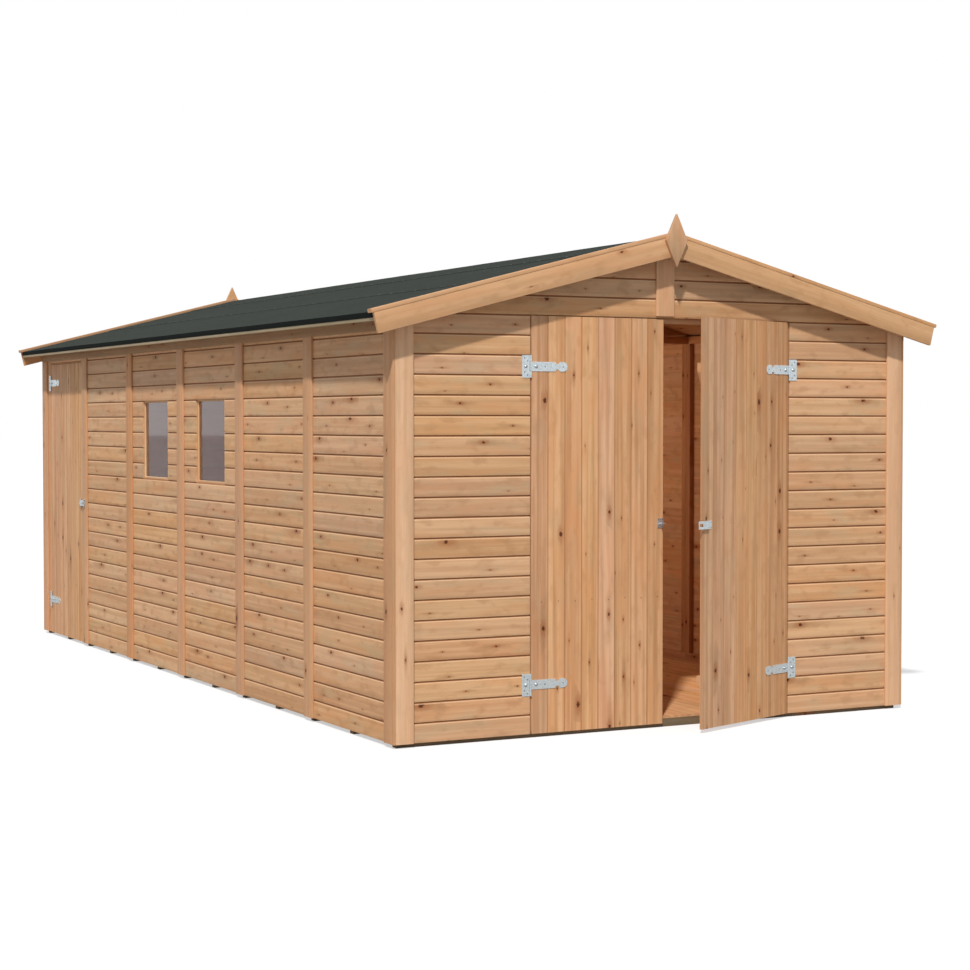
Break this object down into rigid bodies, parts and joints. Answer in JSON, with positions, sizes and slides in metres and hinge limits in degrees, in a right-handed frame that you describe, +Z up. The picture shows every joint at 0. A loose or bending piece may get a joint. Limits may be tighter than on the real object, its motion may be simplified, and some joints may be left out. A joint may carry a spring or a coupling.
{
  "type": "wooden garden shed",
  "caption": "Long timber garden shed with a felt pitched roof, double doors in the gable, two side windows and a single side door, all on tee hinges.",
  "frame": {"origin": "on the ground, under the middle of the floor, at the centre of the middle bearer's underside", "axes": "+Z up, -Y out of the front gable with the double door, -X out of the long side with the windows and the single door"},
  "size_m": [3.31, 6.4288, 2.5676],
  "materials": {
    "weatherboards": "dip-treated softwood shiplap",
    "cover_strip_wood": "dip-treated planed softwood strip",
    "door_wood": "dip-treated tongue and groove softwood",
    "ledge_wood": "planed softwood",
    "wall_framing": "planed softwood framing",
    "floor_wood": "sawn softwood",
    "roof_wood": "softwood roof boards",
    "barge_wood": "dip-treated planed softwood",
    "window_wood": "planed softwood window frame",
    "window_pane": "clear pane over a dark room",
    "roofing_felt": "green-grey mineral roofing felt",
    "galvanised_steel": "bright zinc plated steel"
  },
  "bodies": {
    "shell": {"barge_boards": "barge_wood", "cover_strips": "cover_strip_wood", "eaves_battens": "roof_wood", "finials": "barge_wood", "floor_bearers": "floor_wood", "floor_deck": "floor_wood", "front_apex_strip": "cover_strip_wood", "front_head_frame": "wall_framing", "front_head_panel": "weatherboards", "front_left_frame": "wall_framing", "front_left_panel": "weatherboards", "front_right_frame": "wall_framing", "front_right_panel": "weatherboards", "gable_corner_strips": "cover_strip_wood", "left_door_head_panel": "weatherboards", "left_door_head_rail": "wall_framing", "left_door_post": "wall_framing", "left_door_side_panels": "weatherboards", "left_eaves_board": "cover_strip_wood", "left_hinge_plates": "galvanised_steel", "left_wall_frame": "wall_framing", "left_wall_panels": "weatherboards", "rear_centre_strip": "cover_strip_wood", "rear_frame": "wall_framing", "rear_panel": "weatherboards", "ridge_and_purlins": "wall_framing", "right_eaves_board": "cover_strip_wood", "right_hinge_plates": "galvanised_steel", "right_wall_frame": "wall_framing", "right_wall_panels": "weatherboards", "roof_boards_left": "roof_wood", "roof_boards_right": "roof_wood", "roof_felt": "roofing_felt", "roof_trusses": "wall_framing", "side_corner_strips": "cover_strip_wood", "side_door_staple": "galvanised_steel", "side_hinge_plates": "galvanised_steel", "verge_battens": "roof_wood", "verge_caps": "barge_wood", "window_frames": "window_wood", "window_glass": "window_pane"},
    "left_door": {"left_door_boards": "door_wood", "left_door_ledges": "ledge_wood", "left_door_straps": "galvanised_steel", "left_door_staple": "galvanised_steel"},
    "right_door": {"right_door_boards": "door_wood", "right_door_ledges": "ledge_wood", "right_door_straps": "galvanised_steel", "right_hasp_plate": "galvanised_steel"},
    "front_hasp": {"right_hasp_flap": "galvanised_steel"},
    "side_door": {"side_door_boards": "door_wood", "side_door_ledges": "ledge_wood", "side_door_straps": "galvanised_steel", "side_hasp_plate": "galvanised_steel"},
    "side_hasp": {"side_hasp_flap": "galvanised_steel"}
  },
  "joints": [
    {"name": "left_door_hinge", "type": "hinge", "parent": "shell", "child": "left_door", "pos_m": [-0.7645, -3.0125, 0.02], "axis": [0, 0, -1], "range_deg": [0, 150]},
    {"name": "right_door_hinge", "type": "hinge", "parent": "shell", "child": "right_door", "pos_m": [0.7645, -3.0125, 0.02], "axis": [0, 0, 1], "range_deg": [-20.8, 129.2]},
    {"name": "front_hasp_hinge", "type": "hinge", "parent": "right_door", "child": "front_hasp", "pos_m": [0.09067, -3.26901, 1.03], "axis": [0, 0, 1], "range_deg": [0, 120]},
    {"name": "side_door_hinge", "type": "hinge", "parent": "shell", "child": "side_door", "pos_m": [-1.4965, 2.8265, 0.02], "axis": [0, 0, -1], "range_deg": [0, 150]},
    {"name": "side_hasp_hinge", "type": "hinge", "parent": "side_door", "child": "side_hasp", "pos_m": [-1.509, 2.05333, 0.982], "axis": [0, 0, -1], "range_deg": [0, 120]}
  ]
}
